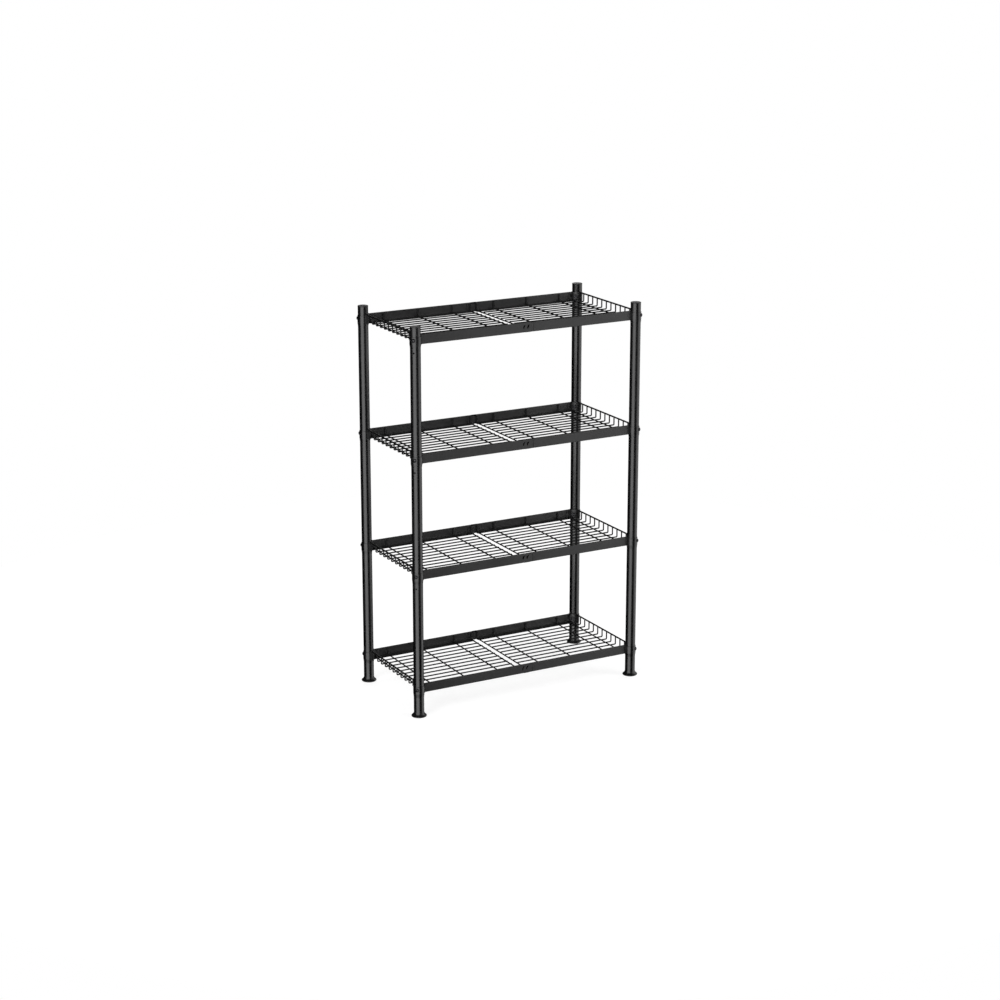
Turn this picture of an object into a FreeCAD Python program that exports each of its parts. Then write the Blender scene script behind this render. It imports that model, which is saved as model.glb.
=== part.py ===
import FreeCAD, Part
import math
import os
import Sketcher

# Wire shelving rack: four posts of stacked tubes carry four wire shelves. Each shelf is two equal
# halves, turned half a turn to each other, that hook together at the middle of the long sides.
# The origin is on the floor, under the middle of the rack. X runs along the shelves, Y from front
# to back, Z up. Everything is in millimetres.

SIZES = [
    # overall
    ("post_span_wide", 594.0, "post centre to post centre along the shelves"),
    ("post_span_deep", 277.0, "post centre to post centre from front to back"),
    ("first_shelf", 56.8, "floor to the underside of the lowest rails"),
    ("shelf_pitch", 283.7, "from one shelf to the next"),
    ("shelf_count", 4, "number of shelves"),
    ("post_rise", 19.9, "top of the highest rails to the top of the caps"),
    # posts
    ("tube_outer", 25.0, "outside diameter of the post tubes"),
    ("tube_wall", 1.0, "wall of the post tubes"),
    ("bell_clearance", 0.1, "gap round a tube inside the bell of the tube below"),
    ("bell_depth", 18.0, "how far a tube goes down into a bell"),
    ("bell_taper", 9.0, "height over which a tube widens to its bell"),
    ("bell_rise", 20.3, "mouth of a bell above the underside of the rails"),
    ("hang_hole", 4.0, "diameter of the hanging hole below each upper joint"),
    ("hang_drop", 30.0, "from a screw down to the hanging hole"),
    # caps and feet
    ("cap_rim", 0.3, "how far a cap stands out past its tube"),
    ("cap_thick", 2.0, "thickness of a cap above its tube"),
    ("cap_plug", 12.0, "depth of a cap's plug inside its tube"),
    ("cap_wall", 1.5, "wall of a cap's plug"),
    ("cap_edge", 0.8, "rounding of a cap's top edge"),
    ("plug_clearance", 0.15, "gap round a plug or spigot inside its tube"),
    ("foot_wide", 37.0, "diameter of a foot where it is widest"),
    ("foot_flare", 11.6, "height of a foot below its tube"),
    ("foot_sweep", 12.0, "radius of a foot's hollow flare"),
    ("foot_lip", 1.6, "radius of a foot's rounded edge"),
    ("foot_floor", 3.0, "thickness of a foot's bottom"),
    ("foot_spigot", 18.0, "height of a foot's spigot inside its tube"),
    ("foot_wall", 2.5, "wall of a foot's spigot"),
    # screws and nuts
    ("screw_wide", 5.0, "diameter of a screw's shank"),
    ("screw_raise", 0.65, "screws above the middle of the rails"),
    ("screw_play", 0.2, "gap round a shank in tubes and saddles"),
    ("thread_play", 0.05, "gap round a shank in its nut"),
    ("screw_tip", 2.0, "how far a screw stands out of its nut"),
    ("head_wide", 9.0, "diameter of a screw's head"),
    ("head_tall", 3.0, "height of a screw's head"),
    ("head_rim", 0.7, "height of the straight rim of a screw's head"),
    ("driver_wide", 1.2, "width of each slot of the cross in a screw's head"),
    ("driver_long", 4.8, "length of each slot of the cross in a screw's head"),
    ("driver_deep", 1.6, "depth of the cross in a screw's head"),
    ("nut_across", 8.0, "a nut across its flats"),
    ("nut_thick", 4.0, "thickness of a nut"),
    # rails
    ("rail_tall", 23.8, "height of the rails"),
    ("rail_sheet", 1.0, "sheet thickness of the rails"),
    ("rail_bend", 1.5, "outside bend at the foot of a rail"),
    ("rail_flange", 10.0, "width of a rail's bottom flange"),
    ("hem_wide", 2.2, "thickness of the folded hem on a rail"),
    ("hem_tall", 2.8, "height of the folded hem on a rail"),
    ("weld_gap", 0.05, "gap between pieces that are welded face to face"),
    # saddles at the posts
    ("saddle_sheet", 1.5, "sheet thickness of the corner saddles"),
    ("saddle_clearance", 0.15, "gap between a bell and its saddle"),
    ("saddle_wrap", 106.0, "angle that a saddle wraps round its post, in degrees"),
    ("wing_long", 25.0, "post centre to the end of a saddle's wings"),
    ("wing_play", 0.2, "gap over and under a saddle's wings inside the rail"),
    # joint at the middle of the rails
    ("deck_gap", 14.2, "gap between the two halves of a shelf"),
    ("outer_tongue", 14.3, "reach of the outer tongue past the middle"),
    ("inner_tongue", 16.0, "reach of the inner tongue past the middle"),
    ("seam_gap", 0.8, "gap at the end of the outer tongue"),
    ("ramp_long", 1.5, "length over which a rail steps in to its inner tongue"),
    ("tongue_play", 0.2, "gap over and under a tongue"),
    ("tongue_gap", 0.1, "gap between the outer and the inner tongue"),
    ("hook_raise", 1.7, "middle of the hooks above the middle of the tongue"),
    ("hook_tall", 10.5, "height of a hook slot"),
    ("hook_lean", 5.0, "how far the top of a hook slot leans over its foot"),
    ("hook_back", 4.2, "how far a hook slot's outer edge bulges"),
    ("hook_belly", 0.6, "how far a hook slot's inner edge bulges"),
    ("hook_fit", 0.85, "size of a hook against its slot"),
    ("hook_sunk", 0.15, "how far a hook's high edge stays behind the face of the rail"),
    ("hook_step", 0.05, "how far a hook's low edge stands out of the inner tongue"),
    ("first_hook", 9.0, "first hook, short of the middle of the rack"),
    ("second_hook", 2.0, "second hook, past the middle of the rack"),
    ("dimple_wide", 2.6, "diameter of the dimple beside the seam"),
    ("dimple_deep", 0.5, "depth of the dimple beside the seam"),
    ("dimple_place", 19.8, "dimple from the middle of the rack"),
    ("dimple_level", 10.3, "dimple above the underside of the rail"),
    # wire decks
    ("long_wire", 3.3, "diameter of the wires along the shelf"),
    ("cross_wire", 3.3, "diameter of the wires across the shelf"),
    ("side_wire", 4.0, "diameter of the wire on top of the fence"),
    ("weld_bite", 1.1, "how deep two welded wires sink into each other"),
    ("wire_margin", 19.4, "post centre to the first long wire"),
    ("wire_pitch", 21.7, "nearest spacing of the long wires"),
    ("fence_bend", 2.2, "centre line radius where a long wire turns up"),
    ("fence_clearance", 0.8, "gap between a saddle's wing and the turned-up wires"),
    ("side_wire_drop", 0.3, "centre of the side wire below the top of the rails"),
    ("cross_bend", 4.5, "centre line radius where a cross wire turns up"),
    ("cross_first", 48.8, "wire at the gap to the next cross wire"),
    ("cross_pitch", 93.0, "spacing of the other cross wires"),
    ("cross_room", 20.0, "least space before the outermost cross wire"),
    ("cross_clearance", 0.9, "gap between the outermost cross wire and a saddle"),
    ("cross_drop", 0.4, "gap between the end of a cross wire and the hem"),
]


class Size:
    """A size as a number and as the sheet expression that gives the same number."""

    def __init__(self, value, text):
        self.value = value
        self.text = text

    def __add__(self, other):
        return joined(self, "+", other, self.value + number(other))

    def __radd__(self, other):
        return joined(other, "+", self, number(other) + self.value)

    def __sub__(self, other):
        return joined(self, "-", other, self.value - number(other))

    def __rsub__(self, other):
        return joined(other, "-", self, number(other) - self.value)

    def __mul__(self, other):
        return joined(self, "*", other, self.value * number(other))

    def __rmul__(self, other):
        return joined(other, "*", self, number(other) * self.value)

    def __truediv__(self, other):
        return joined(self, "/", other, self.value / number(other))

    def __neg__(self):
        return Size(-self.value, "(0 - %s)" % self.text)


def number(size):
    return size.value if isinstance(size, Size) else size


def root(size):
    return Size(math.sqrt(size.value), "sqrt(%s)" % size.text)


def words(size):
    return size.text if isinstance(size, Size) else repr(size)


def joined(left, sign, right, value):
    return Size(value, "(%s %s %s)" % (words(left), sign, words(right)))


# ---- the document and its sheet ----

doc = FreeCAD.newDocument("wire_shelving_rack")
sheet = doc.addObject("Spreadsheet::Sheet", "sizes")


class Dimensions:
    """One attribute for each row of the sheet."""


dim = Dimensions()
for row, (alias, value, note) in enumerate(SIZES, start=1):
    sheet.set("A%d" % row, alias)
    sheet.set("B%d" % row, str(value))
    sheet.set("C%d" % row, note)
    sheet.setAlias("B%d" % row, alias)
    setattr(dim, alias, Size(value, "sizes." + alias))
doc.recompute()

DIAGONAL = 45.0
HALF_TURN = 180.0
ROOT_HALF = Size(math.sqrt(0.5), "sqrt(0.5)")
SHELF_COUNT = int(dim.shelf_count.value)
SHELVES = range(SHELF_COUNT)

# A corner is its name, its signs along X and Y, and the direction straight out of the rack there.
CORNERS = [
    ("front_left", -1, -1, 225.0),
    ("front_right", 1, -1, 315.0),
    ("back_right", 1, 1, 45.0),
    ("back_left", -1, 1, 135.0),
]

# ---- places and radii that more than one piece uses ----

half_wide = dim.post_span_wide / 2
half_deep = dim.post_span_deep / 2
tube_radius = dim.tube_outer / 2
bore_radius = tube_radius - dim.tube_wall
bell_bore = tube_radius + dim.bell_clearance
bell_radius = bell_bore + dim.tube_wall
saddle_inner = bell_radius + dim.saddle_clearance
saddle_outer = saddle_inner + dim.saddle_sheet
plug_radius = bore_radius - dim.plug_clearance
screw_level = dim.rail_tall / 2 + dim.screw_raise
screw_hole = dim.screw_wide + 2 * dim.screw_play
screw_in_bell = dim.bell_rise - screw_level
wing_face = dim.rail_sheet + dim.weld_gap
rail_end = half_wide - (saddle_outer + dim.weld_gap)
hem_foot = dim.rail_tall - dim.hem_tall
half_gap = dim.deck_gap / 2
seam_place = dim.outer_tongue + dim.seam_gap
tongue_foot = dim.rail_sheet + dim.tongue_play
tongue_top = hem_foot - dim.tongue_play
hook_level = (tongue_foot + tongue_top) / 2 + dim.hook_raise
inner_face = dim.rail_sheet + dim.tongue_gap


def shelf_level(shelf):
    return dim.first_shelf + shelf * dim.shelf_pitch


# ---- helpers for bodies and sketches ----

def origin_part(body, role):
    return next(part for part in body.Origin.OriginFeatures if part.Role == role)


def new_body(name):
    body = doc.addObject("PartDesign::Body", name)
    body.Label = name
    return body


def new_sketch(body, name, plane, offset=0):
    """A sketch on an origin plane of its body, moved along the plane's own normal."""
    sketch = body.newObject("Sketcher::SketchObject", name)
    sketch.AttachmentSupport = [(origin_part(body, plane), "")]
    sketch.MapMode = "FlatFace"
    if isinstance(offset, Size):
        sketch.AttachmentOffset = FreeCAD.Placement(
            FreeCAD.Vector(0, 0, offset.value), FreeCAD.Rotation())
        sketch.setExpression("AttachmentOffset.Base.z", offset.text)
    return sketch


def constrain(sketch, size, kind, *where):
    index = sketch.addConstraint(Sketcher.Constraint(kind, *where, size.value))
    sketch.setExpression("Constraints[%d]" % index, size.text)


def pin_point(sketch, curve, end, point):
    """Hold one point of a curve at its two distances from the sketch's origin."""
    for size, kind, axis in ((point[0], "DistanceX", -2), (point[1], "DistanceY", -1)):
        if isinstance(size, Size):
            constrain(sketch, size, kind, -1, 1, curve, end)
        else:
            sketch.addConstraint(Sketcher.Constraint("PointOnObject", curve, end, axis))


def vector(point):
    return FreeCAD.Vector(number(point[0]), number(point[1]), 0)


def arc_between(start, end, radius, left_turn):
    """The arc shorter than half a circle from start to end, and whether it runs that way round."""
    chord = end - start
    rise = math.sqrt(max(radius * radius - chord.Length * chord.Length / 4, 0))
    side = FreeCAD.Vector(-chord.y, chord.x, 0).normalize() * (rise if left_turn else -rise)
    centre = (start + end) / 2 + side
    first, last = (start, end) if left_turn else (end, start)
    from_angle = math.atan2(first.y - centre.y, first.x - centre.x)
    to_angle = math.atan2(last.y - centre.y, last.x - centre.x)
    circle = Part.Circle(centre, FreeCAD.Vector(0, 0, 1), radius)
    return Part.ArcOfCircle(circle, from_angle, to_angle)


def add_chain(sketch, points, bends, closed):
    """Straight lines and arcs through the points. bends gives the curved ones: the number of the
    point that the arc starts from, its radius, and whether it turns left."""
    count = len(points)
    spans = count if closed else count - 1
    base = sketch.GeometryCount
    starts = []
    for index in range(spans):
        start = vector(points[index])
        end = vector(points[(index + 1) % count])
        if index in bends:
            radius, left_turn = bends[index]
            sketch.addGeometry(arc_between(start, end, number(radius), left_turn))
            constrain(sketch, radius, "Radius", base + index)
            starts.append(1 if left_turn else 2)
        else:
            sketch.addGeometry(Part.LineSegment(start, end))
            starts.append(1)
        pin_point(sketch, base + index, starts[index], points[index])
    for index in range(spans if closed else spans - 1):
        following = (index + 1) % spans
        sketch.addConstraint(Sketcher.Constraint(
            "Coincident", base + index, 3 - starts[index], base + following, starts[following]))
    if not closed:
        pin_point(sketch, base + spans - 1, 3 - starts[-1], points[-1])


def outline(sketch, points, bends=None):
    add_chain(sketch, points, bends or {}, True)


def route(sketch, points, bends=None):
    add_chain(sketch, points, bends or {}, False)


def rectangle(sketch, low_x, low_y, high_x, high_y):
    outline(sketch, [(low_x, low_y), (high_x, low_y), (high_x, high_y), (low_x, high_y)])


def circle(sketch, point, diameter):
    round_curve = Part.Circle(vector(point), FreeCAD.Vector(0, 0, 1), diameter.value / 2)
    index = sketch.addGeometry(round_curve)
    pin_point(sketch, index, 3, point)
    constrain(sketch, diameter, "Diameter", index)


def feature(body, kind, name, sketch):
    made = body.newObject("PartDesign::" + kind, name)
    if sketch is not None:
        made.Profile = sketch
    return made


def pad(body, name, sketch, length, backwards=False):
    made = feature(body, "Pad", name, sketch)
    made.Length = length.value
    made.setExpression("Length", length.text)
    made.Reversed = backwards
    return made


def pocket(body, name, sketch, length, backwards=False):
    made = feature(body, "Pocket", name, sketch)
    made.Length = length.value
    made.setExpression("Length", length.text)
    made.Reversed = backwards
    return made


def drill_through(body, name, sketch):
    made = feature(body, "Pocket", name, sketch)
    made.SideType = "Two sides"
    made.Type = "ThroughAll"
    made.Type2 = "ThroughAll"
    return made


def drill_one_way(body, name, sketch, backwards):
    made = feature(body, "Pocket", name, sketch)
    made.Type = "ThroughAll"
    made.Reversed = backwards
    return made


def turn(body, name, sketch, axis="Z_Axis"):
    made = feature(body, "Revolution", name, sketch)
    made.ReferenceAxis = (origin_part(body, axis), [""])
    made.Angle = 360
    return made


def pipe(body, name, section, path):
    made = feature(body, "AdditivePipe", name, section)
    made.Spine = path
    return made


def repeat_along(body, name, original, axis, length, count):
    made = body.newObject("PartDesign::LinearPattern", name)
    made.Originals = [original]
    made.Direction = (origin_part(body, axis), [""])
    made.Length = length.value
    made.setExpression("Length", length.text)
    made.Occurrences = count
    body.Tip = made
    return made


def place(thing, x, y, z, angle=0.0):
    """Turn a piece about Z and bind its place to the sheet."""
    base = FreeCAD.Vector(number(x), number(y), number(z))
    thing.Placement = FreeCAD.Placement(base, FreeCAD.Rotation(FreeCAD.Vector(0, 0, 1), angle))
    for axis, size in (("x", x), ("y", y), ("z", z)):
        if isinstance(size, Size):
            thing.setExpression("Placement.Base." + axis, size.text)


def stand_at_corner(thing, corner, level, inwards=False):
    """Put a piece on a post's axis, its own X pointing out of the rack, or into it."""
    name, side_x, side_y, outwards = corner
    place(thing, side_x * half_wide, side_y * half_deep, level, outwards + (HALF_TURN if inwards else 0.0))


nodes = []


def keep(thing):
    nodes.append(thing)
    return thing


def group(name, pieces):
    """Equal pieces that share one node, each still a solid of its own."""
    made = doc.addObject("Part::Compound", name)
    made.Label = name
    made.Links = pieces
    return keep(made)


# ---- post tubes ----

def tube(name, corner, low, high, bell_on_top, screw_holes, hang_holes):
    """A tube from low to high. Its screw and hanging holes are heights above its lower end."""
    body = new_body(name)
    length = high - low
    if bell_on_top:
        points = [
            (bore_radius, 0),
            (tube_radius, 0),
            (tube_radius, length - dim.bell_depth - dim.bell_taper),
            (bell_radius, length - dim.bell_depth),
            (bell_radius, length),
            (bell_bore, length),
            (bell_bore, length - dim.bell_depth),
            (bore_radius, length - dim.bell_depth - dim.bell_taper),
        ]
    else:
        points = [(bore_radius, 0), (tube_radius, 0), (tube_radius, length), (bore_radius, length)]
    wall = new_sketch(body, name + "_wall", "XZ_Plane")
    outline(wall, points)
    turn(body, name + "_turned", wall)
    for index, height in enumerate(screw_holes):
        hole = new_sketch(body, "%s_screw_hole_%d" % (name, index), "YZ_Plane")
        circle(hole, (0, height), screw_hole)
        drill_through(body, "%s_screw_drilled_%d" % (name, index), hole)
    for index, height in enumerate(hang_holes):
        hole = new_sketch(body, "%s_hang_hole_%d" % (name, index), "YZ_Plane")
        circle(hole, (0, height), dim.hang_hole)
        drill_one_way(body, "%s_hang_drilled_%d" % (name, index), hole, backwards=True)
    stand_at_corner(body, corner, low)
    return keep(body)


def tube_names(corner_name):
    middle = ["%s_tube_%d" % (corner_name, order) for order in range(1, SHELF_COUNT)]
    return [corner_name + "_foot_tube"] + middle + [corner_name + "_top_stub"]


bell_mouths = [shelf_level(shelf) + dim.bell_rise for shelf in SHELVES]
stub_top = shelf_level(SHELF_COUNT - 1) + dim.rail_tall + dim.post_rise - dim.cap_thick
lower_screw = dim.bell_depth - screw_in_bell


def post(corner):
    lows = [dim.foot_flare] + [mouth - dim.bell_depth for mouth in bell_mouths]
    highs = bell_mouths + [stub_top]
    for index, name in enumerate(tube_names(corner[0])):
        length = highs[index] - lows[index]
        has_bell = index < SHELF_COUNT
        upper_screw = length - screw_in_bell
        screw_holes = [lower_screw] if index > 0 else []
        if has_bell:
            screw_holes.append(upper_screw)
        hang_holes = [upper_screw - dim.hang_drop] if 0 < index < SHELF_COUNT else []
        tube(name, corner, lows[index], highs[index], has_bell, screw_holes, hang_holes)


# ---- caps and feet ----

def cap(corner):
    name = corner[0] + "_cap"
    body = new_body(name)
    rim = tube_radius + dim.cap_rim
    inside = plug_radius - dim.cap_wall
    section = new_sketch(body, name + "_section", "XZ_Plane")
    outline(section, [
        (0, 0),
        (inside, 0),
        (inside, -dim.cap_plug),
        (plug_radius, -dim.cap_plug),
        (plug_radius, 0),
        (rim, 0),
        (rim, dim.cap_thick - dim.cap_edge),
        (rim - dim.cap_edge, dim.cap_thick),
        (0, dim.cap_thick),
    ], {6: (dim.cap_edge, True)})
    turn(body, name + "_turned", section)
    stand_at_corner(body, corner, stub_top)
    return keep(body)


def foot(corner):
    name = corner[0] + "_foot"
    body = new_body(name)
    wide = dim.foot_wide / 2
    lip_centre = wide - dim.foot_lip
    inside = plug_radius - dim.foot_wall
    spigot_top = dim.foot_flare + dim.foot_spigot
    section = new_sketch(body, name + "_section", "XZ_Plane")
    outline(section, [
        (0, 0),
        (lip_centre, 0),
        (wide, dim.foot_lip),
        (lip_centre + dim.foot_lip * ROOT_HALF, dim.foot_lip + dim.foot_lip * ROOT_HALF),
        (tube_radius, dim.foot_flare),
        (plug_radius, dim.foot_flare),
        (plug_radius, spigot_top),
        (inside, spigot_top),
        (inside, dim.foot_floor),
        (0, dim.foot_floor),
    ], {1: (dim.foot_lip, True), 2: (dim.foot_lip, True), 3: (dim.foot_sweep, False)})
    turn(body, name + "_turned", section)
    stand_at_corner(body, corner, 0)
    return keep(body)


# ---- rails ----

def rail_section(sketch):
    """The folded section: web, inward bottom flange and flat hem, its outer face at zero."""
    sheet_thick = dim.rail_sheet
    crown = dim.hem_wide / 2
    outline(sketch, [
        (dim.rail_bend, 0),
        (dim.rail_flange, 0),
        (dim.rail_flange, sheet_thick),
        (sheet_thick, sheet_thick),
        (sheet_thick, hem_foot),
        (dim.hem_wide, hem_foot),
        (dim.hem_wide, dim.rail_tall - crown),
        (crown, dim.rail_tall),
        (0, dim.rail_tall - crown),
        (0, dim.rail_bend),
    ], {6: (crown, True), 7: (crown, True), 9: (dim.rail_bend, True)})


def crescent(sketch, middle, fit):
    """A leaning crescent, shrunk about its own middle by the fit."""
    half = root(dim.hook_tall * dim.hook_tall + dim.hook_lean * dim.hook_lean) / 2
    back_radius = (half * half + dim.hook_back * dim.hook_back) / (2 * dim.hook_back)
    belly_radius = (half * half + dim.hook_belly * dim.hook_belly) / (2 * dim.hook_belly)
    shift = (1 - fit) * (dim.hook_back + dim.hook_belly) / (4 * half)
    x = middle - shift * dim.hook_tall
    z = hook_level + shift * dim.hook_lean
    lean = fit * dim.hook_lean / 2
    reach = fit * dim.hook_tall / 2
    outline(sketch, [(x + lean, z + reach), (x - lean, z - reach)],
            {0: (fit * back_radius, True), 1: (fit * belly_radius, False)})


def hook_middles():
    return (-dim.first_hook, dim.second_hook)


def slotted_rail(name):
    """A rail to the left of its origin, whose outer tongue has two hook slots.

    Over the gap between the halves the tongue keeps the rail's full height."""
    body = new_body(name)
    section = new_sketch(body, name + "_section", "YZ_Plane", -rail_end)
    rail_section(section)
    pad(body, name + "_folded", section, rail_end - half_gap)
    tongue = new_sketch(body, name + "_tongue", "YZ_Plane", -half_gap - dim.rail_sheet)
    rectangle(tongue, 0, tongue_foot, dim.rail_sheet, tongue_top)
    pad(body, name + "_tongue_cut", tongue, half_gap + dim.rail_sheet + dim.outer_tongue)
    bridge = new_sketch(body, name + "_bridge", "YZ_Plane", -half_gap - dim.rail_sheet)
    rectangle(bridge, 0, 0, dim.rail_sheet, dim.rail_tall)
    pad(body, name + "_bridge_cut", bridge, dim.rail_sheet + dim.deck_gap - dim.tongue_play)
    for index, middle in enumerate(hook_middles()):
        slot = new_sketch(body, "%s_slot_%d" % (name, index), "XZ_Plane")
        crescent(slot, middle, 1)
        pocket(body, "%s_slot_punched_%d" % (name, index), slot, dim.rail_sheet)
    return keep(body)


def hooked_rail(name):
    """A rail to the right of its origin, whose inner tongue has two hooks for the slots."""
    body = new_body(name)
    section = new_sketch(body, name + "_section", "YZ_Plane", half_gap)
    rail_section(section)
    pad(body, name + "_folded", section, rail_end - half_gap)
    window = new_sketch(body, name + "_window", "XZ_Plane")
    rectangle(window, half_gap, dim.rail_sheet, seam_place, hem_foot)
    pocket(body, name + "_window_cut", window, dim.rail_sheet)
    ramp = new_sketch(body, name + "_ramp", "YZ_Plane", seam_place)
    rectangle(ramp, 0, dim.rail_sheet, inner_face + dim.rail_sheet, hem_foot)
    pad(body, name + "_ramp_pressed", ramp, dim.ramp_long)
    tongue = new_sketch(body, name + "_tongue", "YZ_Plane", -dim.inner_tongue)
    rectangle(tongue, inner_face, tongue_foot, inner_face + dim.rail_sheet, tongue_top)
    pad(body, name + "_tongue_cut", tongue, dim.inner_tongue + seam_place + dim.ramp_long)
    for index, middle in enumerate(hook_middles()):
        hook = new_sketch(body, "%s_hook_%d" % (name, index), "XZ_Plane", -inner_face - dim.rail_sheet / 2)
        crescent(hook, middle, dim.hook_fit)
        pad(body, "%s_hook_pressed_%d" % (name, index), hook,
            inner_face + dim.rail_sheet / 2 - dim.hook_sunk)
        left_end = middle - dim.hook_back - dim.hook_lean / 2
        right_end = middle + dim.hook_lean / 2
        low_face = inner_face - dim.hook_step
        slope = new_sketch(body, "%s_hook_slope_%d" % (name, index), "XY_Plane")
        outline(slope, [
            (left_end, -dim.rail_sheet),
            (right_end, -dim.rail_sheet),
            (right_end, dim.hook_sunk),
            (middle - dim.hook_belly, dim.hook_sunk),
            (middle - dim.hook_back, low_face),
            (left_end, low_face),
        ])
        pocket(body, "%s_hook_sloped_%d" % (name, index), slope, dim.rail_tall, backwards=True)
    dimple = new_sketch(body, name + "_dimple", "XZ_Plane")
    circle(dimple, (dim.dimple_place, dim.dimple_level), dim.dimple_wide)
    pocket(body, name + "_dimple_pressed", dimple, dim.dimple_deep)
    return keep(body)


# ---- wire decks ----

long_level = dim.rail_sheet + dim.cross_wire - dim.weld_bite + dim.long_wire / 2
cross_level = dim.rail_sheet + dim.cross_wire / 2
long_span = dim.post_span_deep - 2 * dim.wire_margin
long_count = round(long_span.value / dim.wire_pitch.value) + 1
fence_face = wing_face + dim.saddle_sheet + dim.fence_clearance
fence_place = half_wide - (fence_face + dim.long_wire / 2)
side_wire_place = half_wide - (fence_face + dim.weld_bite - dim.side_wire / 2)
edge_cross = half_gap + dim.cross_wire / 2
outer_cross = half_wide - (saddle_outer + dim.cross_clearance + dim.cross_wire / 2)
cross_free = outer_cross - edge_cross - dim.cross_first - dim.cross_room
cross_count = math.floor(cross_free.value / dim.cross_pitch.value) + 1


def cross_wire(body, name, x, face):
    """A wire across the shelf whose ends turn up against a face at that distance from the edge."""
    near = face + dim.cross_wire / 2
    far = dim.post_span_deep - near
    top = hem_foot - dim.cross_drop
    bend = dim.cross_bend
    path = new_sketch(body, name + "_path", "YZ_Plane", x)
    route(path, [
        (near, top),
        (near, cross_level + bend),
        (near + bend, cross_level),
        (far - bend, cross_level),
        (far, cross_level + bend),
        (far, top),
    ], {1: (bend, True), 3: (bend, True)})
    section = new_sketch(body, name + "_section", "XY_Plane", top)
    circle(section, (x, near), dim.cross_wire)
    return pipe(body, name, section, path)


def wire_deck(name):
    """The welded wires of the half to the right of its origin, which is at the front rail's face."""
    body = new_body(name)
    end_gap = wing_face + dim.saddle_sheet + dim.weld_gap
    outermost = new_sketch(body, name + "_outer_cross_section", "XZ_Plane", -end_gap)
    circle(outermost, (outer_cross, cross_level), dim.cross_wire)
    pad(body, name + "_outer_cross", outermost, dim.post_span_deep - 2 * end_gap, backwards=True)

    bend = dim.fence_bend
    path = new_sketch(body, name + "_long_path", "XZ_Plane", -dim.wire_margin)
    route(path, [
        (edge_cross, long_level),
        (fence_place - bend, long_level),
        (fence_place, long_level + bend),
        (fence_place, dim.rail_tall),
    ], {1: (bend, True)})
    section = new_sketch(body, name + "_long_section", "YZ_Plane", edge_cross)
    circle(section, (dim.wire_margin, long_level), dim.long_wire)
    long_pipe = pipe(body, name + "_long", section, path)
    repeat_along(body, name + "_long_row", long_pipe, "Y_Axis", long_span, long_count)

    cross_wire(body, name + "_edge_cross", edge_cross, inner_face + dim.rail_sheet + dim.weld_gap)
    first = cross_wire(body, name + "_cross", edge_cross + dim.cross_first, dim.rail_sheet)
    if cross_count > 1:
        span = (cross_count - 1) * dim.cross_pitch
        repeat_along(body, name + "_cross_row", first, "X_Axis", span, cross_count)

    start = saddle_outer + dim.weld_gap
    top = new_sketch(body, name + "_side_section", "XZ_Plane", -start)
    circle(top, (side_wire_place, dim.rail_tall - dim.side_wire_drop), dim.side_wire)
    pad(body, name + "_side", top, dim.post_span_deep - 2 * start, backwards=True)
    return keep(body)


# ---- corner saddles ----

def saddle(name):
    """A plate bent round the inside of a post, its own X along the diagonal into the rack."""
    body = new_body(name)
    section = new_sketch(body, name + "_section", "XZ_Plane")
    rectangle(section, saddle_inner, 0, saddle_outer, dim.rail_tall)
    bent = turn(body, name + "_bent", section)
    bent.Midplane = True
    bent.Angle = dim.saddle_wrap.value
    bent.setExpression("Angle", dim.saddle_wrap.text)
    foot_level = dim.rail_sheet + dim.wing_play
    wing_sketch = new_sketch(body, name + "_wing_section", "XY_Plane", foot_level)
    offset = FreeCAD.Placement(
        FreeCAD.Vector(0, 0, foot_level.value), FreeCAD.Rotation(FreeCAD.Vector(0, 0, 1), -DIAGONAL))
    wing_sketch.AttachmentOffset = offset
    rectangle(wing_sketch, saddle_outer - dim.saddle_sheet / 2, wing_face,
              dim.wing_long, wing_face + dim.saddle_sheet)
    wing = pad(body, name + "_wing", wing_sketch, hem_foot - dim.wing_play - foot_level)
    twin = body.newObject("PartDesign::Mirrored", name + "_other_wing")
    twin.Originals = [wing]
    twin.MirrorPlane = (origin_part(body, "XZ_Plane"), [""])
    body.Tip = twin
    doc.recompute()
    hole = new_sketch(body, name + "_hole", "YZ_Plane")
    circle(hole, (0, screw_level), screw_hole)
    drill_one_way(body, name + "_drilled", hole, backwards=True)
    return body


# ---- screws and nuts ----

def screw(name):
    """A round-headed screw through a joint, its own X pointing out through the head."""
    body = new_body(name)
    head_radius = dim.head_wide / 2
    dome = dim.head_tall - dim.head_rim
    dome_radius = (head_radius * head_radius + dome * dome) / (2 * dome)
    section = new_sketch(body, name + "_head_section", "XZ_Plane")
    outline(section, [
        (bell_radius, 0),
        (bell_radius + dim.head_tall, 0),
        (bell_radius + dim.head_rim, head_radius),
        (bell_radius, head_radius),
    ], {1: (dome_radius, True)})
    turn(body, name + "_head", section, "X_Axis")
    tip = saddle_outer + dim.nut_thick + dim.screw_tip
    shank = new_sketch(body, name + "_shank_section", "YZ_Plane", -tip)
    circle(shank, (0, 0), dim.screw_wide)
    pad(body, name + "_shank", shank, tip + bell_radius + dim.head_rim)
    for turned, (wide, tall) in enumerate(((dim.driver_wide, dim.driver_long),
                                           (dim.driver_long, dim.driver_wide))):
        cross = new_sketch(body, "%s_driver_%d" % (name, turned), "YZ_Plane", bell_radius + dim.head_tall)
        rectangle(cross, -wide / 2, -tall / 2, wide / 2, tall / 2)
        pocket(body, "%s_driver_cut_%d" % (name, turned), cross, dim.driver_deep)
    return body


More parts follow.
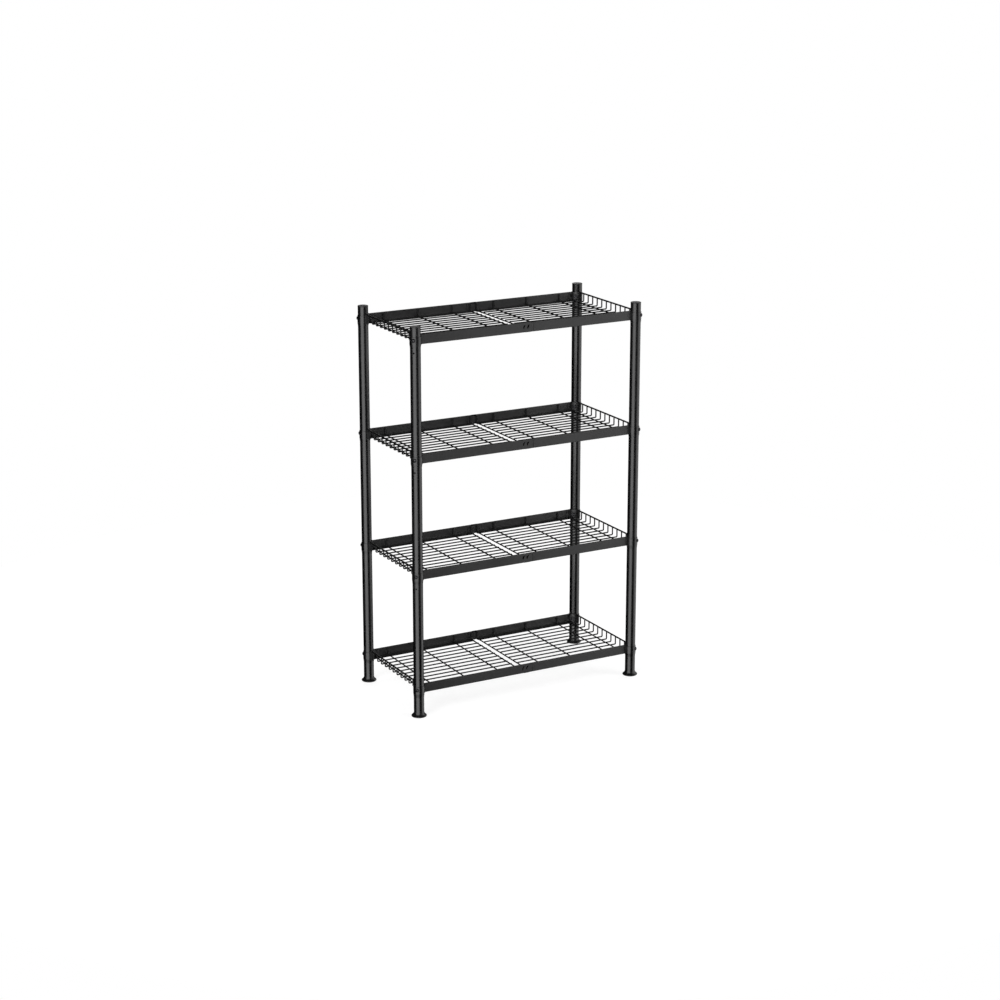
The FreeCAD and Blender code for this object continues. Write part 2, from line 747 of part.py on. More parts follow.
def nut(name):
    """A hexagon nut on the inner face of a saddle, its own X along the diagonal into the rack."""
    body = new_body(name)
    flat = dim.nut_across / 2
    corner = dim.nut_across / math.sqrt(3)
    section = new_sketch(body, name + "_section", "YZ_Plane", saddle_outer)
    outline(section, [
        (corner, 0),
        (corner / 2, flat),
        (-corner / 2, flat),
        (-corner, 0),
        (-corner / 2, -flat),
        (corner / 2, -flat),
    ])
    pad(body, name + "_blank", section, dim.nut_thick)
    bore = new_sketch(body, name + "_bore", "YZ_Plane")
    circle(bore, (0, 0), dim.screw_wide + 2 * dim.thread_play)
    drill_one_way(body, name + "_tapped", bore, backwards=True)
    return body


# ---- the rack ----

for corner in CORNERS:
    post(corner)
    cap(corner)
    foot(corner)

for shelf in SHELVES:
    level = shelf_level(shelf)
    prefix = "shelf_%d_" % (shelf + 1)
    place(slotted_rail(prefix + "front_left_rail"), 0, -half_deep, level)
    place(slotted_rail(prefix + "back_right_rail"), 0, half_deep, level, HALF_TURN)
    place(hooked_rail(prefix + "front_right_rail"), 0, -half_deep, level)
    place(hooked_rail(prefix + "back_left_rail"), 0, half_deep, level, HALF_TURN)
    place(wire_deck(prefix + "right_deck"), 0, -half_deep, level)
    place(wire_deck(prefix + "left_deck"), 0, half_deep, level, HALF_TURN)
    saddles = []
    for corner in CORNERS:
        piece = saddle("%s%s_saddle" % (prefix, corner[0]))
        stand_at_corner(piece, corner, level, inwards=True)
        saddles.append(piece)
    group(prefix + "corner_saddles", saddles)

screws = []
nuts = []
for shelf in SHELVES:
    for corner in CORNERS:
        level = shelf_level(shelf) + screw_level
        place_name = "shelf_%d_%s" % (shelf + 1, corner[0])
        one_screw = screw(place_name + "_screw")
        stand_at_corner(one_screw, corner, level)
        screws.append(one_screw)
        one_nut = nut(place_name + "_nut")
        stand_at_corner(one_nut, corner, level, inwards=True)
        nuts.append(one_nut)
group("post_screws", screws)
group("saddle_nuts", nuts)

# ---- check and write ----

doc.recompute()
for thing in doc.Objects:
    if "Invalid" in thing.State or "Error" in thing.State:
        raise RuntimeError("%s did not build" % thing.Label)
for node in nodes:
    if node.Shape.isNull() or not node.Shape.isValid() or not node.Shape.Solids:
        raise RuntimeError("%s has no valid solid" % node.Label)

os.makedirs("parts", exist_ok=True)
for node in nodes:
    node.Shape.exportStep(os.path.join("parts", node.Label + ".step"))
print("%d nodes, %d solids" % (len(nodes), sum(len(node.Shape.Solids) for node in nodes)))
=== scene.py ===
# %% [markdown]
# # A black wire shelving rack, looked at the way a metal shop would
# The rack arrives as a set of exact CAD pieces: stacked post tubes, folded rails, welded wire decks, saddles,
# screws, nuts, caps and feet. This lesson gives them what CAD leaves out. It puts the weld metal where wires
# cross, makes real threads and chamfers on the fasteners, gives each piece the finish of its own process,
# and lights the whole with soft boxes, because black paint shows nothing except what it reflects.

# %% The exact pieces
import math

import bmesh
import bpy
from mathutils import Matrix, Vector


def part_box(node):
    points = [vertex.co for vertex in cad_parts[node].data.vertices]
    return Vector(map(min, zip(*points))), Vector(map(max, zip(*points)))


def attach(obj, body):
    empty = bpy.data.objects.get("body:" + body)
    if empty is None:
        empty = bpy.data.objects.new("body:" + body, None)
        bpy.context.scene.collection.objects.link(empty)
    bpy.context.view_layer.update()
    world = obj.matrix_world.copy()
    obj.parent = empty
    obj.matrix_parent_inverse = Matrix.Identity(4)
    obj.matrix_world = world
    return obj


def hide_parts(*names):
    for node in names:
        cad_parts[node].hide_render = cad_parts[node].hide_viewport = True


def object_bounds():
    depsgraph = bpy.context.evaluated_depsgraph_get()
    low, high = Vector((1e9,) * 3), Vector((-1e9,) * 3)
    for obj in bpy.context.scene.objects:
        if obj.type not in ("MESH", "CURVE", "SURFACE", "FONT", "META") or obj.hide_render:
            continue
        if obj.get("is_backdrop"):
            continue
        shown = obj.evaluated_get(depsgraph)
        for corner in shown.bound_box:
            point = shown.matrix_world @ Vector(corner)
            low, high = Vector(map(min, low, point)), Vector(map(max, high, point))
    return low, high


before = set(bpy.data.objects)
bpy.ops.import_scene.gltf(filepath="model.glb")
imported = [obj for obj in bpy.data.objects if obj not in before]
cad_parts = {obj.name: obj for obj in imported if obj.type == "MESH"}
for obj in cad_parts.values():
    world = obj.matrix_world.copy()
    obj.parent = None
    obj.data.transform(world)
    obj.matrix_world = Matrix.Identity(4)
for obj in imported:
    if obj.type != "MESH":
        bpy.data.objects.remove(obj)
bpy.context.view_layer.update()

scene = bpy.context.scene

# %% [markdown]
# ## The camera
# The rack is seen from its front left corner, a little from above, with a lens long enough to keep the posts
# almost parallel. A camera could be aimed with a constraint. Here its direction is a vector that is turned
# straight into a rotation, so nothing else in the scene can move it.

# %% Camera
LENS = 83.09
FILM = 36.0
EYE = Vector((-2.6190, -4.7709, 2.0304))
LOOK = Vector((0.46245, 0.84231, -0.27686))

lens = bpy.data.cameras.new("camera")
lens.lens = LENS
lens.sensor_width = FILM
lens.clip_end = 60.0
camera = bpy.data.objects.new("camera", lens)
scene.collection.objects.link(camera)
camera.location = EYE
camera.rotation_mode = "QUATERNION"
camera.rotation_quaternion = LOOK.to_track_quat("-Z", "Y")
scene.camera = camera
print("camera", round(EYE.length, 3), "m from the middle of the floor")

# %% [markdown]
# ## Places that everything else is measured from
# The frame's boxes say where the rack stands, so no place is typed in twice: the posts stand in the middle of
# the feet, and each shelf starts at the underside of its rails. A corner is its signs along X and Y and the
# direction, in degrees, that points straight out of the rack there.

# %% Where things are
MM = 0.001


def box_middle(node):
    node_low, node_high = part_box(node)
    return (Vector(node_low) + Vector(node_high)) / 2


POST_X, POST_Y = (abs(value) for value in box_middle("front_right_foot").xy)
SHELF_LEVELS = [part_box("shelf_%d_front_left_rail" % number)[0][2] for number in (1, 2, 3, 4)]
CORNERS = [(-1, -1, 225.0), (1, -1, 315.0), (1, 1, 45.0), (-1, 1, 135.0)]
print("posts at", round(POST_X, 4), round(POST_Y, 4))
print("shelves at", [round(level, 4) for level in SHELF_LEVELS])

# %% [markdown]
# ## Building materials from nodes
# Every finish below is a Principled BSDF with a few effects in front of it. Effects that several finishes
# share are node groups with named sockets, built once. Small helpers keep the node code readable: one
# adds a node with its settings, one joins sockets, and one opens a new group. Noise seldom leaves the range
# from 0.3 to 0.7, so each mask made from it stretches the middle of that range to its full reach.

# %% Node helpers
def add_node(tree, kind, **settings):
    node = tree.nodes.new(kind)
    for name, value in settings.items():
        setattr(node, name, value)
    return node


def join(tree, source, target):
    tree.links.new(source, target)


def new_group(name, inputs, outputs):
    """An empty group. inputs and outputs are (name, socket type, default) rows."""
    tree = bpy.data.node_groups.new(name, "ShaderNodeTree")
    for direction, rows in (("INPUT", inputs), ("OUTPUT", outputs)):
        for socket_name, kind, default in rows:
            socket = tree.interface.new_socket(socket_name, in_out=direction, socket_type="NodeSocket" + kind)
            if default is not None:
                socket.default_value = default
    return tree, add_node(tree, "NodeGroupInput"), add_node(tree, "NodeGroupOutput")


def noise(tree, place, scale, detail=2.0, roughness=0.5):
    """Noise in object space, so its scale is in features per metre."""
    made = add_node(tree, "ShaderNodeTexNoise")
    made.inputs["Detail"].default_value = detail
    made.inputs["Roughness"].default_value = roughness
    join(tree, place, made.inputs["Vector"])
    if isinstance(scale, (int, float)):
        made.inputs["Scale"].default_value = scale
    else:
        join(tree, scale, made.inputs["Scale"])
    return made.outputs["Fac"]


def math_node(tree, operation, first, second=None):
    made = add_node(tree, "ShaderNodeMath", operation=operation)
    for index, value in enumerate((first, second)):
        if value is None:
            continue
        if isinstance(value, (int, float)):
            made.inputs[index].default_value = value
        else:
            join(tree, value, made.inputs[index])
    return made.outputs[0]


def remap(tree, value, low, high, to_low, to_high):
    """Smoothly move a value from one range to another. The ends may be numbers or sockets."""
    made = add_node(tree, "ShaderNodeMapRange", interpolation_type="SMOOTHSTEP")
    join(tree, value, made.inputs["Value"])
    for name, end in (("From Min", low), ("From Max", high), ("To Min", to_low), ("To Max", to_high)):
        if isinstance(end, (int, float)):
            made.inputs[name].default_value = end
        else:
            join(tree, end, made.inputs[name])
    return made.outputs["Result"]


print("node helpers ready")

# %% [markdown]
# ### Orange peel
# Powder paint is sprayed as dry grains and melts in an oven. It levels almost flat, and the little that is
# left is a soft ripple 1 to 2 mm across, called orange peel, with a finer texture from single grains. It could
# be sculpted, but it is far shallower than a tenth of a millimetre, so a Bump node is the right tool. Two
# sizes of noise are added together as one height.

# %% Orange peel group
PEEL, peel_in, peel_out = new_group("orange peel", [
    ("Ripple Scale", "Float", 600.0), ("Grain Scale", "Float", 3000.0), ("Grain Share", "Float", 0.25),
    ("Depth", "Float", 0.02 * MM), ("Normal", "Vector", None)], [("Normal", "Vector", None)])
place = add_node(PEEL, "ShaderNodeTexCoord").outputs["Object"]
ripple = noise(PEEL, place, peel_in.outputs["Ripple Scale"], 1.0)
grain = noise(PEEL, place, peel_in.outputs["Grain Scale"], 2.0)
height = math_node(PEEL, "ADD", ripple, math_node(PEEL, "MULTIPLY", grain, peel_in.outputs["Grain Share"]))
bump = add_node(PEEL, "ShaderNodeBump")
bump.inputs["Strength"].default_value = 1.0
join(PEEL, height, bump.inputs["Height"])
join(PEEL, peel_in.outputs["Depth"], bump.inputs["Distance"])
join(PEEL, peel_in.outputs["Normal"], bump.inputs["Normal"])
join(PEEL, bump.outputs["Normal"], peel_out.inputs["Normal"])
print("group", PEEL.name, len(PEEL.nodes), "nodes")

# %% [markdown]
# ### Worn and thin edges
# Molten powder pulls back from sharp edges, and edges are what hands and other parts rub first, so a coated
# edge is a little greyer than a face. The Bevel node looks round a corner within a small radius:
# where the normal it returns differs from the true one, the surface is near an edge. Noise breaks the line up,
# because wear is never even.

# %% Edge wear group
WEAR, wear_in, wear_out = new_group("edge wear", [
    ("Radius", "Float", 0.6 * MM), ("Patch Scale", "Float", 90.0), ("Amount", "Float", 0.5)],
    [("Mask", "Float", None)])
rounded = add_node(WEAR, "ShaderNodeBevel", samples=4)
join(WEAR, wear_in.outputs["Radius"], rounded.inputs["Radius"])
true_normal = add_node(WEAR, "ShaderNodeNewGeometry").outputs["Normal"]
agreement = add_node(WEAR, "ShaderNodeVectorMath", operation="DOT_PRODUCT")
join(WEAR, rounded.outputs["Normal"], agreement.inputs[0])
join(WEAR, true_normal, agreement.inputs[1])
ON_A_FACE, ON_AN_EDGE = 0.97, 0.80
near_edge = remap(WEAR, agreement.outputs["Value"], ON_A_FACE, ON_AN_EDGE, 0.0, 1.0)
patches = remap(WEAR, noise(WEAR, add_node(WEAR, "ShaderNodeTexCoord").outputs["Object"],
                            wear_in.outputs["Patch Scale"], 3.0), 0.35, 0.65, 0.15, 1.0)
worn = math_node(WEAR, "MULTIPLY", near_edge, patches)
join(WEAR, math_node(WEAR, "MULTIPLY", worn, wear_in.outputs["Amount"]), wear_out.inputs["Mask"])
print("group", WEAR.name, len(WEAR.nodes), "nodes")

# %% [markdown]
# ### Dust that settles
# Fine dust lies on faces that look up and hardly at all on walls. The upward part of the normal picks those
# faces, and noise gathers the dust in loose clouds. On black paint very little is needed.

# %% Dust group
DUST, dust_in, dust_out = new_group("settled dust", [
    ("Cloud Scale", "Float", 25.0), ("Amount", "Float", 0.3)], [("Mask", "Float", None)])
facing = add_node(DUST, "ShaderNodeSeparateXYZ")
join(DUST, add_node(DUST, "ShaderNodeNewGeometry").outputs["Normal"], facing.inputs[0])
STEEP, LEVEL = 0.35, 0.95
SPECK_SCALE = 1400.0
upward = remap(DUST, facing.outputs["Z"], STEEP, LEVEL, 0.0, 1.0)
dust_place = add_node(DUST, "ShaderNodeTexCoord").outputs["Object"]
clouds = remap(DUST, noise(DUST, dust_place, dust_in.outputs["Cloud Scale"], 4.0), 0.35, 0.70, 0.1, 1.0)
specks = remap(DUST, noise(DUST, dust_place, SPECK_SCALE, 1.0), 0.50, 0.75, 0.3, 1.0)
lying = math_node(DUST, "MULTIPLY", math_node(DUST, "MULTIPLY", upward, clouds), specks)
join(DUST, math_node(DUST, "MULTIPLY", lying, dust_in.outputs["Amount"]), dust_out.inputs["Mask"])
print("group", DUST.name, len(DUST.nodes), "nodes")

# %% [markdown]
# ### Handling marks
# A finish that people carry and wipe is glossier in some places than in others. Broad noise gives the
# patches left by palms and cloths, stretched noise gives faint rub lines, and both only move the roughness.

# %% Handling group
ALONG_Z = (1.0, 1.0, 0.12)
RUB_SCALE = 420.0
RUB_SHARE = 0.25
HANDLED, handled_in, handled_out = new_group("handling marks", [
    ("Patch Scale", "Float", 14.0), ("Low", "Float", 0.25), ("High", "Float", 0.40)],
    [("Roughness", "Float", None)])
handled_place = add_node(HANDLED, "ShaderNodeTexCoord").outputs["Object"]
palms = noise(HANDLED, handled_place, handled_in.outputs["Patch Scale"], 3.0, 0.6)
stretched = add_node(HANDLED, "ShaderNodeMapping")
stretched.inputs["Scale"].default_value = ALONG_Z
join(HANDLED, handled_place, stretched.inputs["Vector"])
rubs = noise(HANDLED, stretched.outputs["Vector"], RUB_SCALE, 2.0)
marks = math_node(HANDLED, "ADD", math_node(HANDLED, "MULTIPLY", palms, 1.0 - RUB_SHARE),
                  math_node(HANDLED, "MULTIPLY", rubs, RUB_SHARE))
join(HANDLED, remap(HANDLED, marks, 0.36, 0.64, handled_in.outputs["Low"], handled_in.outputs["High"]),
     handled_out.inputs["Roughness"])
print("group", HANDLED.name, len(HANDLED.nodes), "nodes")

# %% [markdown]
# ### Pigment
# Carbon black paint isn't one even colour. Film thickness and pigment drift a little, so the group mixes two
# blacks by soft noise, then lays wear and dust over them by their masks. All finishes use it, and each gives
# its own four colours and its own masks.

# %% Pigment group
PIGMENT, pigment_in, pigment_out = new_group("pigment", [
    ("Deep", "Color", (0.008, 0.008, 0.009, 1.0)), ("Pale", "Color", (0.014, 0.014, 0.015, 1.0)),
    ("Worn", "Color", (0.06, 0.06, 0.06, 1.0)), ("Dust", "Color", (0.25, 0.24, 0.22, 1.0)),
    ("Drift Scale", "Float", 30.0), ("Wear Mask", "Float", 0.0), ("Dust Mask", "Float", 0.0)],
    [("Color", "Color", None)])


def lay_over(tree, under, over, mask):
    mix = add_node(tree, "ShaderNodeMix", data_type="RGBA")
    join(tree, mask, mix.inputs["Factor"])
    join(tree, under, mix.inputs[6])
    join(tree, over, mix.inputs[7])
    return mix.outputs[2]


drift = remap(PIGMENT, noise(PIGMENT, add_node(PIGMENT, "ShaderNodeTexCoord").outputs["Object"],
                             pigment_in.outputs["Drift Scale"], 3.0), 0.3, 0.7, 0.0, 1.0)
coat = lay_over(PIGMENT, pigment_in.outputs["Deep"], pigment_in.outputs["Pale"], drift)
coat = lay_over(PIGMENT, coat, pigment_in.outputs["Worn"], pigment_in.outputs["Wear Mask"])
coat = lay_over(PIGMENT, coat, pigment_in.outputs["Dust"], pigment_in.outputs["Dust Mask"])
join(PIGMENT, coat, pigment_out.inputs["Color"])
print("group", PIGMENT.name, len(PIGMENT.nodes), "nodes")

# %% [markdown]
# ### Painted shade in the slots
# At the hooked joint in the middle of the long rails the slots and the seam are only a millimetre deep, and
# they are the darkest, dullest places on the rack. The dark there is shade that falls into them, and it is
# painted here.
# A dark insert could be modelled. A mask is simpler: it takes what lies just behind the rails' outer faces
# near the middle, and nothing else there can be seen. Those faces are in line with the middles of the posts.

# %% Recess group
# Painted shade: this mask is 0 in the slots and the seam of the rail joint, where the shade is painted.
RECESS, recess_in, recess_out = new_group("painted slot shade", [
    ("Face", "Float", POST_Y), ("Start", "Float", 0.08 * MM), ("Depth", "Float", 1.4 * MM),
    ("Half Width", "Float", 17.0 * MM)], [("Unshaded", "Float", None)])
spot = add_node(RECESS, "ShaderNodeSeparateXYZ")
join(RECESS, add_node(RECESS, "ShaderNodeNewGeometry").outputs["Position"], spot.inputs[0])
from_middle = math_node(RECESS, "ABSOLUTE", spot.outputs["Y"])
behind = math_node(RECESS, "SUBTRACT", recess_in.outputs["Face"], from_middle)
inside = math_node(RECESS, "MULTIPLY", math_node(RECESS, "GREATER_THAN", behind, recess_in.outputs["Start"]),
                   math_node(RECESS, "LESS_THAN", behind, recess_in.outputs["Depth"]))
middle = math_node(RECESS, "LESS_THAN", math_node(RECESS, "ABSOLUTE", spot.outputs["X"]),
                   recess_in.outputs["Half Width"])
join(RECESS, math_node(RECESS, "SUBTRACT", 1.0, math_node(RECESS, "MULTIPLY", inside, middle)),
     recess_out.inputs["Unshaded"])
print("group", RECESS.name, len(RECESS.nodes), "nodes")

# %% [markdown]
# Hollow tubes are the same case. The small hole that lets hot gas out of each tube in the oven looks black,
# because shade falls inside the tube, and that shade is painted too. Here the mask takes what lies nearer to a
# post's axis than the tube's outer face.

# %% Hollow group
# Painted shade: this mask is 0 inside the post tubes, where the shade is painted.
HOLLOW, hollow_in, hollow_out = new_group("painted hollow shade", [
    ("Post X", "Float", POST_X), ("Post Y", "Float", POST_Y), ("Radius", "Float", 12.2 * MM)],
    [("Unshaded", "Float", None)])
spot = add_node(HOLLOW, "ShaderNodeSeparateXYZ")
join(HOLLOW, add_node(HOLLOW, "ShaderNodeNewGeometry").outputs["Position"], spot.inputs[0])
squares = []
for axis in ("X", "Y"):
    from_post = math_node(HOLLOW, "SUBTRACT", math_node(HOLLOW, "ABSOLUTE", spot.outputs[axis]),
                          hollow_in.outputs["Post " + axis])
    squares.append(math_node(HOLLOW, "MULTIPLY", from_post, from_post))
reach = math_node(HOLLOW, "SQRT", math_node(HOLLOW, "ADD", *squares))
join(HOLLOW, math_node(HOLLOW, "GREATER_THAN", reach, hollow_in.outputs["Radius"]), hollow_out.inputs["Unshaded"])
print("group", HOLLOW.name, len(HOLLOW.nodes), "nodes")

# %% [markdown]
# ### A finish from the groups
# One function places the five groups in a new material with that finish's values and joins them to its
# Principled BSDF. Numbers that are the same all over, such as metallic or the specular level, are set on the
# shader itself.

# %% Finish maker
DUST_DULLS = 0.5
DULLEST = 0.9
HOUSE_DUST = (0.22, 0.21, 0.19, 1.0)


def place_group(tree, group, values):
    made = add_node(tree, "ShaderNodeGroup", node_tree=group)
    for name, value in values.items():
        made.inputs[name].default_value = value
    return made


def make_finish(name, colours, drift_scale, peel, wear, dust, handled, metallic=0.0, specular=0.5):
    material = bpy.data.materials.new(name)
    material.use_nodes = True
    tree = material.node_tree
    shader = tree.nodes["Principled BSDF"]
    shader.inputs["Metallic"].default_value = metallic
    shader.inputs["Specular IOR Level"].default_value = specular
    worn_edges = place_group(tree, WEAR, wear)
    settled = place_group(tree, DUST, dust)
    pigment = place_group(tree, PIGMENT, dict(colours, **{"Drift Scale": drift_scale}))
    join(tree, worn_edges.outputs["Mask"], pigment.inputs["Wear Mask"])
    join(tree, settled.outputs["Mask"], pigment.inputs["Dust Mask"])
    join(tree, pigment.outputs["Color"], shader.inputs["Base Color"])
    marks = place_group(tree, HANDLED, handled)
    dulled = math_node(tree, "ADD", marks.outputs["Roughness"],
                       math_node(tree, "MULTIPLY", settled.outputs["Mask"], DUST_DULLS))
    join(tree, math_node(tree, "MINIMUM", dulled, DULLEST), shader.inputs["Roughness"])
    join(tree, place_group(tree, PEEL, peel).outputs["Normal"], shader.inputs["Normal"])
    return material


def grey(level, tint=0.0):
    return (level, level, level * (1.0 + tint), 1.0)


def peel_values(ripple_scale, grain_scale, share, depth):
    return {"Ripple Scale": ripple_scale, "Grain Scale": grain_scale, "Grain Share": share, "Depth": depth}


def wear_values(radius, patch_scale, amount):
    return {"Radius": radius, "Patch Scale": patch_scale, "Amount": amount}


def dust_values(cloud_scale, amount):
    return {"Cloud Scale": cloud_scale, "Amount": amount}


def handled_values(patch_scale, low, high):
    return {"Patch Scale": patch_scale, "Low": low, "High": high}


def four_colours(deep, pale, worn, dust=HOUSE_DUST):
    return {"Deep": deep, "Pale": pale, "Worn": worn, "Dust": dust}


print("finish maker ready")

# %% [markdown]
# ### Coated tube, sheet and wire
# All the metal is steel under one black semi-gloss powder coat, but each shape takes powder in its own way.
# Tubes hang and turn past the gun, so they are the smoothest. Flat sheet shows more ripple, which spreads its
# strong shine over a wide band. Wire gets powder from all sides and builds up thick, so its texture is deep
# for its size, and it shines least.

# %% Coats
COAT = four_colours(grey(0.0035, 0.08), grey(0.0060, 0.06), grey(0.045))
finishes = {}
finishes["coated_tube"] = make_finish(
    "coated_tube", COAT, 24.0, peel_values(520.0, 3200.0, 0.18, 0.022 * MM),
    wear_values(0.5 * MM, 80.0, 0.4), dust_values(20.0, 0.10), handled_values(12.0, 0.23, 0.31))
finishes["coated_sheet"] = make_finish(
    "coated_sheet", COAT, 16.0, peel_values(430.0, 2800.0, 0.25, 0.028 * MM),
    wear_values(0.5 * MM, 60.0, 0.3), dust_values(26.0, 0.14), handled_values(10.0, 0.42, 0.52),
    specular=0.9)
finishes["coated_wire"] = make_finish(
    "coated_wire", COAT, 60.0, peel_values(900.0, 3600.0, 0.30, 0.030 * MM),
    wear_values(0.3 * MM, 120.0, 0.4), dust_values(40.0, 0.10), handled_values(30.0, 0.36, 0.48),
    specular=0.24)
print("coats:", sorted(finishes))

# %% [markdown]
# Sheet and tube get painted shade where their masks say so: a near-black that mirrors almost nothing. That is
# Metallic and roughness at 1 over a near-black colour, because a metal's colour is also the colour of its
# reflections, while the paint's own shine keeps its one value.

# %% Painted shade
# Painted shade: the near-black that stands for the shade in the rail joint's slots and inside the tubes.
PAINTED_SHADE = grey(0.0015)


# Lays painted shade on a finish where the group's mask is 0: metallic, fully rough and near-black.
def paint_shade(finish, group):
    tree = finishes[finish].node_tree
    shader = tree.nodes["Principled BSDF"]
    unshaded = place_group(tree, group, {}).outputs["Unshaded"]
    in_shade = math_node(tree, "SUBTRACT", 1.0, unshaded)
    join(tree, in_shade, shader.inputs["Metallic"])
    coat_roughness = shader.inputs["Roughness"].links[0].from_socket
    join(tree, math_node(tree, "MAXIMUM", coat_roughness, in_shade), shader.inputs["Roughness"])
    coat_colour = shader.inputs["Base Color"].links[0].from_socket
    shade_mix = add_node(tree, "ShaderNodeMix", data_type="RGBA")
    shade_mix.inputs[6].default_value = PAINTED_SHADE
    join(tree, unshaded, shade_mix.inputs["Factor"])
    join(tree, coat_colour, shade_mix.inputs[7])
    join(tree, shade_mix.outputs[2], shader.inputs["Base Color"])
    print(finish, "gets painted shade from", group.name)


# Painted shade in the slots of the rail joints and inside the post tubes.
paint_shade("coated_sheet", RECESS)
paint_shade("coated_tube", HOLLOW)

# %% [markdown]
# ### Moulded caps and feet
# Caps and feet are black polyethylene, pressed hard against a spark-eroded mould. The mould's fine, even
# grain is in every face, the skin is satin, and scuffs show grey. Feet meet the floor, so they carry the
# most scuffs and dust.

# %% Plastics
FLOOR_DUST = (0.25, 0.24, 0.22, 1.0)
PLASTIC = four_colours(grey(0.004, 0.05), grey(0.007, 0.05), grey(0.06), FLOOR_DUST)
finishes["cap_plastic"] = make_finish(
    "cap_plastic", PLASTIC, 45.0, peel_values(2600.0, 6500.0, 0.6, 0.022 * MM),
    wear_values(0.6 * MM, 150.0, 0.35), dust_values(60.0, 0.22), handled_values(45.0, 0.36, 0.50),
    specular=0.45)
finishes["foot_plastic"] = make_finish(
    "foot_plastic", PLASTIC, 45.0, peel_values(2200.0, 6000.0, 0.6, 0.025 * MM),
    wear_values(0.9 * MM, 110.0, 0.4), dust_values(50.0, 0.10), handled_values(40.0, 0.24, 0.36))
print("plastics:", [name for name in finishes if "plastic" in name])

# %% [markdown]
# ### Blackened screws and nuts
# The fasteners aren't painted. Their steel is blackened in a hot salt bath, which leaves a thin oxide
# over metal, so they are metallic and a shade lighter, and they shine where a driver has turned in the recess.

# %% Fastener finishes
OXIDE = four_colours(grey(0.030, 0.10), grey(0.060, 0.06), grey(0.30))
for fastener, low, high in (("screw_steel", 0.26, 0.42), ("nut_steel", 0.32, 0.50)):
    finishes[fastener] = make_finish(
        fastener, OXIDE, 300.0, peel_values(1800.0, 5200.0, 0.5, 0.012 * MM),
        wear_values(0.25 * MM, 500.0, 0.7), dust_values(90.0, 0.15), handled_values(120.0, low, high),
        metallic=0.85)
print("fasteners:", [name for name in finishes if "steel" in name])

# %% [markdown]
# ### Handing out the finishes
# The record says which slot each CAD node belongs to, and the slot has the same name as the finish here.

# %% Finishes on the CAD nodes
dressed = {}
for name, node in sorted(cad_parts.items()):
    for material_slot in node.material_slots:
        finish = material_slot.material.name
        material_slot.material = finishes[finish]
        dressed[finish] = dressed.get(finish, 0) + 1
print("dressed:", dressed)

# %% [markdown]
# ## Pieces that CAD leaves out
# The CAD nodes keep their exact shapes, and the pieces added here ride on the same body.
# A helper skins a row of rings with four-sided faces, which is how a lathe or a drawn bead would be built by
# hand in edit mode with bridge edge loops. The row either gets closed ends or, for a ring such as a nut, runs
# back into itself. Another helper turns the finished mesh into a piece with its finish.

# %% Mesh helpers
def skin(mesh, rings, endless=False):
    """Bridge rings of equal length. Each ring is a list of points."""
    loops = [[mesh.verts.new(point) for point in ring] for ring in rings]
    followers = loops[1:] + loops[:1] if endless else loops[1:]
    for first, second in zip(loops, followers):
        for index in range(len(first)):
            after = (index + 1) % len(first)
            mesh.faces.new((first[index], first[after], second[after], second[index]))
    if not endless:
        mesh.faces.new(loops[0][::-1])
        mesh.faces.new(loops[-1])


def mesh_object(name, mesh, material):
    data = bpy.data.meshes.new(name)
    mesh.to_mesh(data)
    mesh.free()
    data.materials.append(material)
    made = bpy.data.objects.new(name, data)
    scene.collection.objects.link(made)
    return made


def make_piece(name, mesh, finish, sharp_angle):
    """A piece of the rack. Edges sharper than the angle, in degrees, stay sharp."""
    bmesh.ops.recalc_face_normals(mesh, faces=mesh.faces)
    piece = mesh_object(name, mesh, finishes[finish])
    piece.data.shade_smooth()
    piece.data.set_sharp_from_angle(angle=math.radians(sharp_angle))
    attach(piece, "root")
    print("piece", name, len(piece.data.vertices), "vertices")
    return piece


def turned(axis):
    """A rotation that carries local Z to the given axis."""
    return Vector(axis).to_track_quat("Z", "Y").to_matrix()


print("mesh helpers ready")

# %% [markdown]
# ### Weld metal
# Each crossing of two wires is a resistance weld. Two copper electrodes squeeze the hot wires into each other,
# and soft metal is pushed out into the four corners between them. Left out, crossed wires look like sticks
# laid on sticks. Every squeezed-out nugget here is a low pillow with four lobes, each a little different, from
# one seeded random generator.

# %% Nuggets
import random

weld_random = random.Random(41)
NUGGET_TILTS = (-66.0, -36.0, 0.0, 36.0, 66.0)
NUGGET_SIDES = 12
SKEW = 0.07


def nugget(mesh, place, axis, size):
    """Squeezed-out metal round a contact. Its axis is the direction in which the pieces were pressed.

    A size is its reach, its rise and how deep the notches between its four lobes are."""
    reach, rise, lobes = size
    spin = turned(axis)
    swell = weld_random.uniform(0.9, 1.12)
    skew = weld_random.uniform(0.0, math.tau)
    rings = []
    for degrees in NUGGET_TILTS:
        tilt = math.radians(degrees)
        ring = []
        for step in range(NUGGET_SIDES):
            angle = math.tau * step / NUGGET_SIDES
            lobe = 1.0 - lobes * math.cos(4 * angle) + SKEW * math.cos(angle + skew)
            radius = reach * swell * lobe * math.cos(tilt)
            point = Vector((radius * math.cos(angle), radius * math.sin(angle), rise * math.sin(tilt)))
            ring.append(Vector(place) + spin @ point)
        rings.append(ring)
    skin(mesh, rings)


print("nugget ready")

# %% [markdown]
# ### Where the wires cross
# Twelve long wires lie on the cross wires of each half shelf and turn up at the side, where they meet the
# thick wire on top of the fence. The values are the wires' own, measured from the posts, from the middle of
# the rack or from the underside of the rails. Each kind of contact has its own size of nugget.

